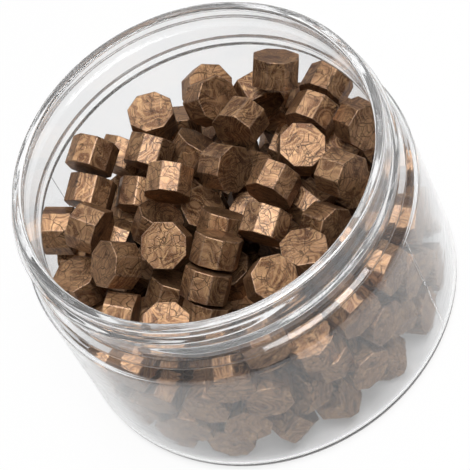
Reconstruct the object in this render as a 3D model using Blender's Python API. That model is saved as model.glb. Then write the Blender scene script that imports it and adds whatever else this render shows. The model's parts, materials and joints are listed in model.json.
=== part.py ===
"""Wide-mouth screw-neck jar filled with octagonal sealing-wax beads.

The jar stands on the origin with its axis along +Z. It is one turned moulding with a helical thread.
The beads seen through the mouth start where they were read by eye in the photo, are eased apart until
none touch, and are let down onto the beads under them. The beads below are poured in by a rule and
joined as one bed.
"""

import math
import random
from collections import namedtuple

import bmesh
import bpy
import numpy as np

MM = 0.001

# Jar, outside
JAR_HEIGHT = 51.5 * MM
RIM_RADIUS = 36.5 * MM
BODY_RADIUS = 39.1 * MM
NECK_HEIGHT = 15.5 * MM
BASE_CORNER = 3.3 * MM
BASE_RING = 4.0 * MM
BASE_HOLLOW = 0.5 * MM

# Jar, inside
LIP_WIDTH = 2.05 * MM
LIP_EDGE = 0.35 * MM
WALL = 1.2 * MM
BASE_THICK = 1.4 * MM
FLOOR_CORNER = 2.0 * MM
NECK_INSIDE_DEPTH = 12.2 * MM
FLARE_DROP = 4.0 * MM

# Neck thread and collar ring
THREAD_HEIGHT = 1.15 * MM
THREAD_LEAD = 4.2 * MM
THREAD_ROOT = 3.0 * MM
THREAD_CREST = 1.3 * MM
THREAD_DROP = 2.7 * MM
THREAD_START = -77.5
THREAD_SWEEP = 420.0
THREAD_RUNOUT = 26.0
COLLAR_DROP = 10.9 * MM
COLLAR_DEPTH = 1.7 * MM
COLLAR_REACH = 1.3 * MM
AROUND = 64
THREAD_ROW = 0.62 * MM

# Beads
BEAD_WIDTH = 9.0 * MM
BEAD_THICK = 6.0 * MM
BEAD_EDGE = 0.35 * MM
GAP = 0.3 * MM
JOINED_DEPTH = 0.25 * MM

# Filling
BED_DROP = 24.0 * MM
BED_RISE = 3.5 * MM
SEEN_RISE = 11.5 * MM
EDGE_DROP = 8.5 * MM
EDGE_FRONT = -6.0 * MM
POUR_SEED = 8
WALL_LEAN = 6.0
LAYER_STEP = 1.08

# The photo's view: how high the eye looks from, how far the picture is rolled, how far off the eye is
LOOK_RISE = 52.6
LOOK_ROLL = -28.9
LOOK_FROM = 511.0 * MM
READ_PER_BEAD = 9.0

# One bead as read by eye in the photo. Right and below are where it lies in the picture from the middle of
# the mouth and level is its middle's height over the bed, all in ninths of a bead's width. Bearing is the way
# its shown end faces in the picture (clockwise from right), tilt is how far that end turns away, and spin is
# about its own axis.
Seen = namedtuple("Seen", "right below level bearing tilt spin")

# Beads read by the middle of an end face
SEEN_ENDS = (
    Seen(-8.5, -9.5, 8.0, -105, 33, 0),
    Seen(3.0, -14.0, 4.5, -30, 18, 15),
    Seen(4.5, -11.5, 9.5, -15, 32, 10),
    Seen(15.5, -19.5, 9.5, -88, 70, 0),
    Seen(33.0, -6.5, 4.5, 30, 33, 0),
    Seen(20.0, -3.5, 11.0, -80, 20, 10),
    Seen(7.0, 1.5, 6.5, 10, 42, 0),
    Seen(1.5, 8.5, 1.5, -50, 28, 20),
    Seen(11.0, 9.5, 2.0, -90, 20, 15),
    Seen(26.5, 13.0, 3.0, 20, 45, 10),
    Seen(20.0, 15.5, 4.5, -100, 42, 0),
    Seen(-6.0, 16.0, 9.0, 180, 12, 0),
    Seen(-17.0, 19.5, 8.5, 185, 55, 0),
    Seen(14.0, 20.0, 9.0, -45, 20, 12),
    Seen(-5.5, 30.0, 7.5, -90, 28, 0),
)

# Beads read by their own middle, mostly lying on a side
SEEN_SIDES = (
    Seen(24.0, -14.5, 5.0, 120, 65, 22),
    Seen(11.5, -12.0, 2.5, 60, 60, 0),
    Seen(22.0, -8.5, 8.5, 119, 66, 22),
    Seen(8.5, -7.0, 9.0, 128, 55, 0),
    Seen(-3.0, -6.5, 2.0, -95, 70, 0),
    Seen(-0.5, -1.5, 3.0, -60, 70, 0),
    Seen(-8.5, -1.5, 7.5, 106, 82, 0),
    Seen(-14.0, -1.0, 3.5, 112, 78, 0),
    Seen(-19.5, 0.0, 8.0, 107, 75, 22),
    Seen(27.0, 2.0, 7.5, 20, 52, 0),
    Seen(-5.0, 3.0, 10.0, 98, 72, 0),
    Seen(14.5, 4.0, 7.5, 118, 68, 22),
    Seen(-19.0, 5.5, 6.0, 104, 78, 15),
    Seen(-10.5, 6.5, 4.0, 100, 78, -10),
    Seen(21.5, 8.0, 4.0, 38, 72, 0),
    Seen(-13.0, 11.0, 0.5, 100, 60, 0),
    Seen(-7.0, 12.0, 4.0, -70, 60, 22),
    Seen(5.0, 12.5, 6.0, -77, 80, -12),
    Seen(13.0, 12.0, 9.0, 108, 76, 0),
    Seen(-19.5, 12.5, 7.0, 20, 68, 10),
    Seen(-25.5, 13.0, 4.0, 0, 80, 22),
    Seen(-15.0, 15.0, 1.0, 20, 80, -15),
    Seen(3.5, 17.5, 8.0, -77, 80, -12),
    Seen(2.0, 22.5, 8.0, -77, 80, -12),
    Seen(-21.5, 23.0, 6.5, -120, 50, 0),
    Seen(-5.0, 24.5, 4.0, -75, 70, 0),
    Seen(2.0, 28.0, 3.0, -77, 78, -12),
    Seen(-13.5, 28.0, 4.0, 10, 80, 0),
)

# Heights worked out from the driving sizes
SHOULDER = JAR_HEIGHT - NECK_HEIGHT
NECK_INSIDE = RIM_RADIUS - LIP_WIDTH
BODY_INSIDE = BODY_RADIUS - WALL
NECK_LOW = JAR_HEIGHT - NECK_INSIDE_DEPTH
FLARE_LOW = NECK_LOW - FLARE_DROP
BED_TOP = JAR_HEIGHT - BED_DROP
EDGE_TOP = JAR_HEIGHT - EDGE_DROP
EXACT = 1e-9
FAR = 1e9
EASE_STEPS = 800
EASE_DEPTH = 2.5
EASE_HOLD = 0.12
POUR_MISSES = 2
WALL_STEPS = 10
PROP_OVER = 0.6 * MM
PROP_TRIES = 30


def clear_scene():
    """Remove what the opening file holds."""
    for thing in list(bpy.data.objects):
        bpy.data.objects.remove(thing, do_unlink=True)


def turn_about_z(angle):
    """Rotation about the up axis."""
    c = math.cos(angle)
    s = math.sin(angle)
    return np.array([[c, -s, 0.0], [s, c, 0.0], [0.0, 0.0, 1.0]])


def turn_about_y(angle):
    """Rotation about the back-to-front axis."""
    c = math.cos(angle)
    s = math.sin(angle)
    return np.array([[c, 0.0, s], [0.0, 1.0, 0.0], [-s, 0.0, c]])


def bead_frame(lean, toward, turn):
    """Directions of a bead whose axis leans from upright and which is turned on its own axis."""
    way = turn_about_z(math.radians(toward))
    return way @ turn_about_y(math.radians(lean)) @ turn_about_z(math.radians(turn))


def bead_corners():
    """The sixteen corners of one sharp octagonal bead about its middle."""
    reach = BEAD_WIDTH / 2.0 / math.cos(math.pi / 8.0)
    rows = []
    for side in (0.5, -0.5):
        for k in range(8):
            angle = math.radians(22.5 + 45.0 * k)
            rows.append((reach * math.cos(angle), reach * math.sin(angle), side * BEAD_THICK))
    return np.array(rows)


def bead_normals():
    """The five directions the faces of a bead look along."""
    rows = []
    for k in range(4):
        angle = math.radians(45.0 * k)
        rows.append((math.cos(angle), math.sin(angle), 0.0))
    rows.append((0.0, 0.0, 1.0))
    return np.array(rows)


CORNERS = bead_corners()
NORMALS = bead_normals()
SPAN = 2.0 * float(np.linalg.norm(CORNERS[0]))


class Pile:
    """Beads already in place, with the tests that keep a new bead clear of them."""

    def __init__(self):
        self.frames = []
        self.centres = np.zeros((0, 3))
        self.corners = np.zeros((0, 16, 3))
        self.normals = np.zeros((0, 5, 3))

    def add(self, frame, centre):
        """Put one bead in place."""
        self.frames.append(frame)
        self.centres = np.vstack([self.centres, [centre]])
        self.corners = np.concatenate([self.corners, [CORNERS @ frame.T]])
        self.normals = np.concatenate([self.normals, [NORMALS @ frame.T]])

    def near(self, spot, reach):
        """Beads whose middle is within reach of a spot in plan."""
        away = self.centres[:, :2] - spot
        return np.nonzero(np.hypot(away[:, 0], away[:, 1]) < reach)[0]

    def all(self):
        """Every bead in place."""
        return np.arange(len(self.centres))

    def axes(self, frame, extra, near):
        """Directions that can part a new bead from each near bead, and how far apart each needs them."""
        fixed = self.normals[near]
        mine = NORMALS @ frame.T
        count = len(fixed)
        cross = np.cross(fixed[:, :, None, :], mine[None, None, :, :]).reshape(count, 25, 3)
        size = np.linalg.norm(cross, axis=2, keepdims=True)
        cross = cross / np.maximum(size, EXACT)
        axes = np.concatenate([fixed, np.broadcast_to(mine, (count, 5, 3)), cross], axis=1)
        reach = np.abs(axes @ self.corners[near].transpose(0, 2, 1)).max(axis=2)
        reach = reach + np.abs(axes @ (CORNERS @ frame.T).T).max(axis=2) + extra
        reach[:, 10:] = np.where(size[:, :, 0] > 1e-6, reach[:, 10:], FAR)
        return self.centres[near], axes, reach


def blocked(tests, spots):
    """Lowest and highest middle heights at which a bead at each spot would meet each tested bead."""
    centres, axes, reach = tests
    away = spots[:, None, None, :] - centres[None, :, None, :2]
    part = away[..., 0] * axes[None, :, :, 0] + away[..., 1] * axes[None, :, :, 1]
    rise = axes[None, :, :, 2]
    level = np.abs(rise) < 1e-7
    steep = np.where(level, 1.0, rise)
    middle = -part / steep
    half = reach[None] / np.abs(steep)
    clear = np.abs(part) >= reach[None]
    low = np.where(level, np.where(clear, FAR, -FAR), middle - half).max(axis=2)
    high = np.where(level, np.where(clear, -FAR, FAR), middle + half).min(axis=2)
    return low + centres[None, :, 2], high + centres[None, :, 2]


def seats(tests, spots, lowest):
    """Middle height of a bead let down from above at each spot."""
    height = np.full(len(spots), lowest)
    if len(tests[0]) == 0:
        return height
    low, high = blocked(tests, spots)
    return np.maximum(height, np.where(high > low, high, -FAR).max(axis=1))


def clear_at(tests, spots, heights):
    """Whether a bead at each spot and height is clear of every tested bead."""
    if len(tests[0]) == 0:
        return np.ones(len(spots), dtype=bool)
    low, high = blocked(tests, spots)
    meets = (low < heights[:, None]) & (heights[:, None] < high)
    return np.logical_not(meets.any(axis=1))


def floor_seat(frame):
    """Centre height of a bead resting on the jar floor."""
    return BASE_THICK + GAP + float((CORNERS @ frame.T)[:, 2].max())


def inside_radius(z):
    """Inside radius of the jar at each height."""
    up = np.clip((z - FLARE_LOW) / FLARE_DROP, 0.0, 1.0)
    radius = BODY_INSIDE + (NECK_INSIDE - BODY_INSIDE) * up
    return radius - np.clip(BASE_THICK + FLOOR_CORNER - z, 0.0, FLOOR_CORNER)


def within_wall(frame, spots, heights):
    """Whether a bead at each spot and height is clear of the wall."""
    turned = CORNERS @ frame.T
    x = spots[:, None, 0] + turned[None, :, 0]
    y = spots[:, None, 1] + turned[None, :, 1]
    z = heights[:, None] + turned[None, :, 2]
    return (np.hypot(x, y) <= inside_radius(z) - GAP).all(axis=1)


def look_directions():
    """Right and up in the photo, and the way from the jar to the eye."""
    rise = math.radians(LOOK_RISE)
    roll = math.radians(LOOK_ROLL)
    eye = np.array([0.0, -math.cos(rise), math.sin(rise)])
    level = np.array([1.0, 0.0, 0.0])
    upright = np.cross(eye, level)
    right = math.cos(roll) * level + math.sin(roll) * upright
    up = math.cos(roll) * upright - math.sin(roll) * level
    return right, up, eye


def seen_frame(bead):
    """Directions of a bead from the way its shown end faces in the photo."""
    right, up, eye = look_directions()
    bearing = math.radians(bead.bearing)
    tilt = math.radians(bead.tilt)
    in_view = math.cos(bearing) * right - math.sin(bearing) * up
    axis = math.sin(tilt) * in_view + math.cos(tilt) * eye
    side = eye - axis * float(eye @ axis)
    side = side / np.linalg.norm(side)
    frame = np.stack([side, np.cross(axis, side), axis], axis=1)
    return frame @ turn_about_z(math.radians(bead.spin))


def seen_place(bead, height):
    """Point at one height that shows where a bead was read in the photo."""
    right, up, eye = look_directions()
    scale = BEAD_WIDTH / READ_PER_BEAD
    mouth = np.array([0.0, 0.0, JAR_HEIGHT])
    camera = mouth + eye * LOOK_FROM
    sight = mouth + (right * bead.right - up * bead.below) * scale - camera
    return camera + sight * ((height - camera[2]) / sight[2])


def laid_beads():
    """Frames and middles of the seen beads, where they were read."""
    scale = BEAD_WIDTH / READ_PER_BEAD
    frames = []
    centres = []
    for bead in SEEN_SIDES:
        frames.append(seen_frame(bead))
        centres.append(seen_place(bead, BED_TOP + bead.level * scale))
    for bead in SEEN_ENDS:
        frame = seen_frame(bead)
        half = frame[:, 2] * BEAD_THICK / 2.0
        frames.append(frame)
        centres.append(seen_place(bead, BED_TOP + bead.level * scale + half[2]) - half)
    return frames, np.array(centres)


def ease_apart(frames, centres):
    """Move laid beads the least that clears them of each other and of the wall.

    At first a pair is parted along the line of sight where that is nearly as short, and every bead is
    drawn weakly back to where it was read, so the view from the photo's side keeps its look.
    """
    home = centres
    centres = centres.copy()
    count = len(frames)
    corners = np.array([CORNERS @ frame.T for frame in frames])
    normals = np.array([NORMALS @ frame.T for frame in frames])
    one, two = np.triu_indices(count, 1)
    cross = np.cross(normals[one][:, :, None, :], normals[two][:, None, :, :]).reshape(len(one), 25, 3)
    size = np.linalg.norm(cross, axis=2, keepdims=True)
    axes = np.concatenate([normals[one], normals[two], cross / np.maximum(size, EXACT)], axis=1)
    reach = np.abs(np.einsum("nax,nvx->nav", axes, corners[one])).max(axis=2)
    reach = reach + np.abs(np.einsum("nax,nvx->nav", axes, corners[two])).max(axis=2) + GAP
    reach[:, 10:] = np.where(size[:, :, 0] > 1e-6, reach[:, 10:], FAR)
    sight = look_directions()[2]
    along = axes @ sight
    rows = np.arange(len(one))
    slack = 0.002 * MM
    for step in range(EASE_STEPS):
        apart = np.einsum("nax,nx->na", axes, centres[one] - centres[two])
        short = reach - np.abs(apart)
        best = short.argmin(axis=1)
        need = short[rows, best]
        meeting = np.nonzero(need > 0.0)[0]
        in_depth = np.where(np.abs(along) > 0.25, short / np.maximum(np.abs(along), EXACT), FAR)
        deep = in_depth.argmin(axis=1)
        shift = np.zeros_like(centres)
        shares = np.zeros(count)
        for k in meeting:
            far = in_depth[k, deep[k]]
            if step < EASE_STEPS * 0.25 and far < EASE_DEPTH * need[k] + GAP:
                sign = math.copysign(1.0, apart[k, deep[k]] * along[k, deep[k]])
                push = sight * sign * (far / 2.0 + slack)
            else:
                sign = math.copysign(1.0, apart[k, best[k]])
                push = axes[k, best[k]] * sign * (need[k] / 2.0 + slack)
            shift[one[k]] += push
            shift[two[k]] -= push
            shares[one[k]] += 1.0
            shares[two[k]] += 1.0
        centres += shift / np.maximum(shares, 1.0)[:, None]
        if step < EASE_STEPS * 0.2:
            off = home - centres
            depth = (off @ sight)[:, None] * sight
            centres += EASE_HOLD * (off - depth) + 0.02 * depth
        centres[:, 2] = np.minimum(centres[:, 2], BED_TOP + SEEN_RISE)
        tips = centres[:, None, :] + corners
        radius = np.hypot(tips[:, :, 0], tips[:, :, 1])
        over = radius - (inside_radius(tips[:, :, 2]) - GAP)
        worst = over.argmax(axis=1)
        outside = over[np.arange(count), worst]
        for k in np.nonzero(outside > 0.0)[0]:
            way = tips[k, worst[k], :2] / radius[k, worst[k]]
            centres[k, :2] -= way * (outside[k] + slack)
        if len(meeting) == 0 and (outside <= EXACT).all():
            break
    return centres


def keep_clear(frames, centres):
    """Laid beads that are clear of the wall, the floor and the beads kept before them."""
    kept = Pile()
    for frame, centre in zip(frames, centres):
        spot = centre[None, :2]
        height = centre[None, 2]
        if centre[2] < floor_seat(frame) or not within_wall(frame, spot, height)[0]:
            continue
        tests = kept.axes(frame, GAP - 0.01 * MM, kept.all())
        if clear_at(tests, spot, height)[0]:
            kept.add(frame, centre)
    return kept


def random_spots(rng, count):
    """Places spread evenly over the jar floor."""
    rows = []
    for k in range(count):
        radius = math.sqrt(rng.random()) * BODY_INSIDE
        angle = rng.uniform(0.0, 2.0 * math.pi)
        rows.append((radius * math.cos(angle), radius * math.sin(angle)))
    return np.array(rows)


def random_frame(rng):
    """A bead lying flat, on edge, or any way at all."""
    lean = math.degrees(math.acos(rng.uniform(-1.0, 1.0)))
    if rng.random() < 0.4:
        lean = rng.choice((0.0, 90.0))
    return bead_frame(lean, rng.uniform(0.0, 360.0), rng.uniform(0.0, 45.0))


def settle(pile, others, frame, spots, extra):
    """Lowest place for a bead near any of the spots, rolled downhill, clear of the other pile."""
    lowest = floor_seat(frame)
    middle = spots.mean(axis=0)
    reach = SPAN + float(np.hypot(spots[:, 0] - middle[0], spots[:, 1] - middle[1]).max())
    heights = seats(pile.axes(frame, extra, pile.near(middle, reach)), spots, lowest)
    free = within_wall(frame, spots, heights)
    free &= clear_at(others.axes(frame, GAP, others.near(middle, reach)), spots, heights)
    if not free.any():
        return None
    first = int(np.where(free, heights, FAR).argmin())
    spot = spots[first]
    height = heights[first]
    home = spot
    step = BEAD_WIDTH / 9.0
    under = pile.axes(frame, extra, pile.near(spot, SPAN + 3.0 * step))
    beside = others.axes(frame, GAP, others.near(spot, SPAN + 3.0 * step))
    for turn in range(14):
        angle = np.arange(6) * math.pi / 3.0 + turn * 0.37
        around = spot + step * np.stack([np.cos(angle), np.sin(angle)], axis=1)
        rests = seats(under, around, lowest)
        good = within_wall(frame, around, rests)
        good &= np.hypot(around[:, 0] - home[0], around[:, 1] - home[1]) < BEAD_WIDTH / 4.0
        good &= clear_at(beside, around, rests)
        best = int(np.where(good, rests, FAR).argmin())
        if good[best] and rests[best] < height - EXACT:
            spot = around[best]
            height = rests[best]
        else:
            step *= 0.5
    return np.array([spot[0], spot[1], height])


def wall_frame(rng):
    """A bead with one end turned to the wall on the right, or lying any way at all."""
    if rng.random() < 0.3:
        return random_frame(rng)
    lean = 90.0 + rng.uniform(-WALL_LEAN, WALL_LEAN)
    return bead_frame(lean, rng.uniform(-WALL_LEAN, WALL_LEAN), rng.uniform(0.0, 45.0))


def wall_top(spots):
    """How high the beads along the wall may stand at each spot."""
    return np.where(behind_lip(spots), EDGE_TOP, BED_TOP + BED_RISE)


def wall_place(base, angle, laid, bed):
    """Top, frame and middle of a bead let down along the wall at one bearing, as near to it as it goes."""
    frame = turn_about_z(angle) @ base
    turned = CORNERS @ frame.T
    out = np.array([math.cos(angle), math.sin(angle)])
    reach = float((turned[:, :2] @ out).max())
    inset = np.arange(9) * BEAD_WIDTH / 20.0
    spots = (BODY_INSIDE - GAP - reach - inset)[:, None] * out
    under = bed.near(spots[0], SPAN * 1.5)
    heights = seats(bed.axes(frame, -JOINED_DEPTH, under), spots, floor_seat(frame))
    tops = heights + float(turned[:, 2].max())
    good = within_wall(frame, spots, heights) & (tops < wall_top(spots))
    good &= clear_at(laid.axes(frame, GAP, laid.near(spots[0], SPAN * 1.5)), spots, heights)
    if not good.any():
        return None
    first = int(good.argmax())
    return tops[first], frame, np.array([spots[first, 0], spots[first, 1], heights[first]])


def line_wall(laid, bed):
    """Rows of beads along the wall, most with an end turned to it, each rolled to its lowest place."""
    rng = random.Random(POUR_SEED + 3)
    count = int(2.0 * math.pi * (BODY_INSIDE - BEAD_THICK * 0.65) / (BEAD_WIDTH * 1.12))
    row = 0
    placed = 1
    while placed:
        placed = 0
        for k in range(count):
            base = wall_frame(rng)
            angle = 2.0 * math.pi * (k + 0.5 * row + rng.uniform(-0.2, 0.2)) / count
            place = wall_place(base, angle, laid, bed)
            if place is None:
                continue
            step = BEAD_WIDTH / 3.0 / BODY_INSIDE
            for again in range(WALL_STEPS):
                for turned in (angle + step, angle - step):
                    lower = wall_place(base, turned, laid, bed)
                    if lower is not None and lower[0] < place[0] - EXACT:
                        place = lower
                        angle = turned
                        break
                else:
                    step *= 0.5
            bed.add(place[1], place[2])
            placed += 1
        row += 1


def layer_spots(layer):
    """Places in staggered rows over the jar floor, shifted from layer to layer."""
    step = BEAD_WIDTH * LAYER_STEP
    across = math.ceil(BODY_INSIDE / step) + 1
    rows = []
    for j in range(-across, across + 1):
        for k in range(-across, across + 1):
            x = (k + 0.5 * (j % 2) + layer * 0.37) * step
            y = (j * 0.866 + layer * 0.29) * step
            if math.hypot(x, y) < BODY_INSIDE - BEAD_THICK:
                rows.append((x, y))
    return np.array(rows)


def pour_bed(laid):
    """Beads poured under the laid ones, each joined a little into the beads it rests on."""
    rng = random.Random(POUR_SEED)
    bed = Pile()
    line_wall(laid, bed)
    layer = 0
    misses = 0
    while misses < POUR_MISSES:
        placed = 0
        for spot in layer_spots(layer % 6):
            best = None
            for k in range(3):
                frame = random_frame(rng)
                half = float((CORNERS @ frame.T)[:, 2].max())
                spots = spot + (random_spots(rng, 8) / BODY_INSIDE) * BEAD_WIDTH * 0.5
                centre = settle(bed, laid, frame, spots, -JOINED_DEPTH)
                if centre is not None and (best is None or centre[2] + half < best[0]):
                    best = (centre[2] + half, frame, centre)
            if best is not None and best[0] < BED_TOP + BED_RISE:
                bed.add(best[1], best[2])
                placed += 1
        layer += 1
        misses = 0 if placed else misses + 1
    prop_up(laid, bed)
    return joined_part(bed)


def joined_part(bed):
    """The beads of the bed that hang together, counted from the largest group."""
    count = len(bed.frames)
    group = list(range(count))
    for k in range(count):
        near = bed.near(bed.centres[k, :2], SPAN)
        spot = bed.centres[None, k, :2]
        low, high = blocked(bed.axes(bed.frames[k], -0.05 * MM, near), spot)
        meets = (low[0] < bed.centres[k, 2]) & (bed.centres[k, 2] < high[0])
        for other in near[meets]:
            old = group[other]
            new = group[k]
            group = [new if item == old else item for item in group]
    largest = max(set(group), key=group.count)
    whole = Pile()
    for k in range(count):
        if group[k] == largest:
            whole.add(bed.frames[k], bed.centres[k])
    return whole


def rest_height(k, laid, bed):
    """Height at which one laid bead, lowered straight down, comes to rest."""
    frame = laid.frames[k]
    spot = laid.centres[None, k, :2]
    rest = floor_seat(frame)
    for pile in (bed, laid):
        near = pile.near(spot[0], SPAN)
        if pile is laid:
            near = near[near != k]
        if len(near) == 0:
            continue
        low, high = blocked(pile.axes(frame, GAP, near), spot)
        under = (high[0] > low[0]) & (high[0] <= laid.centres[k, 2] + 0.02 * MM)
        if under.any():
            rest = max(rest, float(high[0][under].max()))
    return rest


def prop_place(rng, k, laid, bed):
    """Frame and middle of a bed bead right under one laid bead, clear of the others."""
    others = laid.near(laid.centres[k, :2], SPAN * 1.5)
    others = others[others != k]
    for again in range(PROP_TRIES):
        frame = random_frame(rng)
        spots = laid.centres[k, :2] + (random_spots(rng, 12) / BODY_INSIDE) * BEAD_WIDTH * 0.4
        heights = blocked(laid.axes(frame, GAP, np.array([k])), spots)[0][:, 0] - EXACT
        good = within_wall(frame, spots, heights) & (heights > floor_seat(frame))
        good &= clear_at(laid.axes(frame, GAP, others), spots, heights)
        good &= np.logical_not(clear_at(bed.axes(frame, -JOINED_DEPTH, bed.all()), spots, heights))
        if good.any():
            best = int(np.where(good, heights, -FAR).argmax())
            return frame, np.array([spots[best, 0], spots[best, 1], heights[best]])
    return None


def prop_up(laid, bed):
    """Bed beads put right under the laid beads that would sink when let down."""
    rng = random.Random(POUR_SEED + 2)
    for k in np.argsort(laid.centres[:, 2]):
        if laid.centres[k, 2] - rest_height(k, laid, bed) < PROP_OVER:
            continue
        place = prop_place(rng, k, laid, bed)
        if place is not None:
            bed.add(place[0], place[1])


def let_down(laid, bed):
    """Lower each laid bead straight down until it rests on what is under it."""
    for again in range(4):
        for k in np.argsort(laid.centres[:, 2]):
            rest = rest_height(k, laid, bed)
            spot = laid.centres[None, k, :2]
            if rest < laid.centres[k, 2] and within_wall(laid.frames[k], spot, np.array([rest]))[0]:
                laid.centres[k, 2] = rest


def behind_lip(spots):
    """Whether the near side of the lip stands between the eye and a bead at each spot."""
    shift = (JAR_HEIGHT - BED_TOP - SEEN_RISE) / math.tan(math.radians(LOOK_RISE))
    beyond = np.hypot(spots[:, 0], spots[:, 1] - shift) > NECK_INSIDE + BEAD_WIDTH * 0.4
    return beyond & (spots[:, 1] < EDGE_FRONT)


def thread_height(angle, z):
    """How far the thread stands out of the neck at one bearing and height."""
    best = 0.0
    turned = (THREAD_START - angle) % 360.0
    while turned <= THREAD_SWEEP:
        middle = JAR_HEIGHT - THREAD_DROP - THREAD_LEAD * turned / 360.0
        flank = (THREAD_ROOT - THREAD_CREST) / 2.0
        share = (THREAD_ROOT / 2.0 - abs(z - middle)) / flank
        ends = min(turned, THREAD_SWEEP - turned) / THREAD_RUNOUT
        best = max(best, THREAD_HEIGHT * min(max(share, 0.0), 1.0) * min(ends, 1.0))
        turned += 360.0
    return best


def outside_profile():
    """Radius, height and whether the thread rides on it, from the rim down to the base."""
    collar = JAR_HEIGHT - COLLAR_DROP
    foot = collar - COLLAR_DEPTH
    flare = foot - SHOULDER
    swell = BODY_RADIUS - RIM_RADIUS
    rows = [(RIM_RADIUS - LIP_EDGE, JAR_HEIGHT, False)]
    top = JAR_HEIGHT - LIP_EDGE
    steps = max(6, round((top - collar) / THREAD_ROW))
    for k in range(steps + 1):
        rows.append((RIM_RADIUS, top + (collar - top) * k / steps, True))
    rows.append((RIM_RADIUS + COLLAR_REACH, collar - COLLAR_DEPTH * 0.3, False))
    rows.append((RIM_RADIUS + COLLAR_REACH, collar - COLLAR_DEPTH * 0.65, False))
    rows.append((RIM_RADIUS + swell * 0.2, foot, False))
    rows.append((RIM_RADIUS + swell * 0.6, foot - flare * 0.4, False))
    rows.append((RIM_RADIUS + swell * 0.9, foot - flare * 0.8, False))
    rows.append((BODY_RADIUS, SHOULDER, False))
    rows.append((BODY_RADIUS, SHOULDER * 0.5 + BASE_CORNER * 0.5, False))
    for k in range(5):
        angle = math.pi / 2.0 * k / 4.0
        corner = BODY_RADIUS - BASE_CORNER + BASE_CORNER * math.cos(angle)
        rows.append((corner, BASE_CORNER - BASE_CORNER * math.sin(angle), False))
    rows.append((BODY_RADIUS - BASE_CORNER - BASE_RING, 0.0, False))
    rows.append((BODY_RADIUS - BASE_CORNER - BASE_RING - BASE_HOLLOW, BASE_HOLLOW, False))
    return rows


def inside_profile():
    """Radius and height from the floor up to the lip."""
    rows = [(BODY_INSIDE - FLOOR_CORNER, BASE_THICK, False)]
    rows.append((BODY_INSIDE, BASE_THICK + FLOOR_CORNER, False))
    rows.append((BODY_INSIDE, FLARE_LOW, False))
    rows.append((NECK_INSIDE, NECK_LOW, False))
    rows.append((NECK_INSIDE, JAR_HEIGHT - LIP_EDGE, False))
    rows.append((NECK_INSIDE + LIP_EDGE, JAR_HEIGHT, False))
    return rows


def build_jar():
    """The jar as one turned solid, closed at the middle of the floor and of the base."""
    rows = outside_profile()
    rows = rows + inside_profile()
    mesh = bmesh.new()
    rings = []
    for radius, z, threaded in rows:
        ring = []
        for k in range(AROUND):
            angle = 360.0 * k / AROUND
            out = radius
            if threaded:
                out += thread_height(angle, z)
            turn = math.radians(angle)
            ring.append(mesh.verts.new((out * math.cos(turn), out * math.sin(turn), z)))
        rings.append(ring)
    under = mesh.verts.new((0.0, 0.0, BASE_HOLLOW))
    over = mesh.verts.new((0.0, 0.0, BASE_THICK))
    outside = len(outside_profile())
    pairs = []
    for k in range(outside - 1):
        pairs.append((k, k + 1))
    for k in range(outside, len(rows) - 1):
        pairs.append((k, k + 1))
    pairs.append((len(rows) - 1, 0))
    for first, second in pairs:
        for k in range(AROUND):
            after = (k + 1) % AROUND
            corner = (rings[first][k], rings[second][k], rings[second][after], rings[first][after])
            mesh.faces.new(corner)
    for k in range(AROUND):
        after = (k + 1) % AROUND
        mesh.faces.new((rings[outside - 1][k], under, rings[outside - 1][after]))
        mesh.faces.new((rings[outside][after], over, rings[outside][k]))
    bmesh.ops.recalc_face_normals(mesh, faces=mesh.faces)
    return mesh


def add_bead(mesh, frame, centre, edge):
    """One octagonal bead with its end edges bevelled by edge; sharp when edge is nought."""
    flat = BEAD_WIDTH / 2.0
    layers = [(flat, BEAD_THICK / 2.0)]
    if edge > 0.0:
        layers = [(flat - edge, BEAD_THICK / 2.0), (flat, BEAD_THICK / 2.0 - edge)]
    layers = layers + [(radius, -z) for radius, z in reversed(layers)]
    rings = []
    for radius, z in layers:
        ring = []
        for k in range(8):
            angle = math.radians(22.5 + 45.0 * k)
            reach = radius / math.cos(math.pi / 8.0)
            place = frame @ np.array([reach * math.cos(angle), reach * math.sin(angle), z]) + centre
            ring.append(mesh.verts.new(place))
        rings.append(ring)
    mesh.faces.new(rings[0])
    mesh.faces.new(list(reversed(rings[-1])))
    for upper, lower in zip(rings, rings[1:]):
        for k in range(8):
            after = (k + 1) % 8
            mesh.faces.new((upper[k], lower[k], lower[after], upper[after]))


def object_from(name, mesh, material):
    """Make a named object from a bmesh and give it its material."""
    data = bpy.data.meshes.new(name)
    mesh.to_mesh(data)
    mesh.free()
    thing = bpy.data.objects.new(name, data)
    bpy.context.scene.collection.objects.link(thing)
    data.materials.append(material)
    return thing


def new_material(name, colour, roughness, metallic, clear):
    """A plain Principled material."""
    material = bpy.data.materials.new(name)
    material.use_nodes = True
    shader = material.node_tree.nodes["Principled BSDF"]
    shader.inputs["Base Color"].default_value = (colour[0], colour[1], colour[2], 1.0)
    shader.inputs["Roughness"].default_value = roughness
    shader.inputs["Metallic"].default_value = metallic
    shader.inputs["Transmission Weight"].default_value = clear
    material.diffuse_color = (colour[0], colour[1], colour[2], 1.0)
    return material


def build_bed(bed, material):
    """The poured beads joined as one solid."""
    mesh = bmesh.new()
    for frame, centre in list(zip(bed.frames, bed.centres))[:-1]:
        add_bead(mesh, frame, centre, 0.0)
    whole = object_from("bead_bed", mesh, material)
    mesh = bmesh.new()
    add_bead(mesh, bed.frames[-1], bed.centres[-1], 0.0)
    last = object_from("bead_bed_last", mesh, material)
    join = whole.modifiers.new("join", "BOOLEAN")
    join.operation = "UNION"
    join.solver = "EXACT"
    join.use_self = True
    join.object = last
    graph = bpy.context.evaluated_depsgraph_get()
    data = bpy.data.meshes.new_from_object(whole.evaluated_get(graph))
    whole.modifiers.clear()
    old = whole.data
    whole.data = data
    bpy.data.meshes.remove(old)
    bpy.data.objects.remove(last, do_unlink=True)
    return whole


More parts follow.
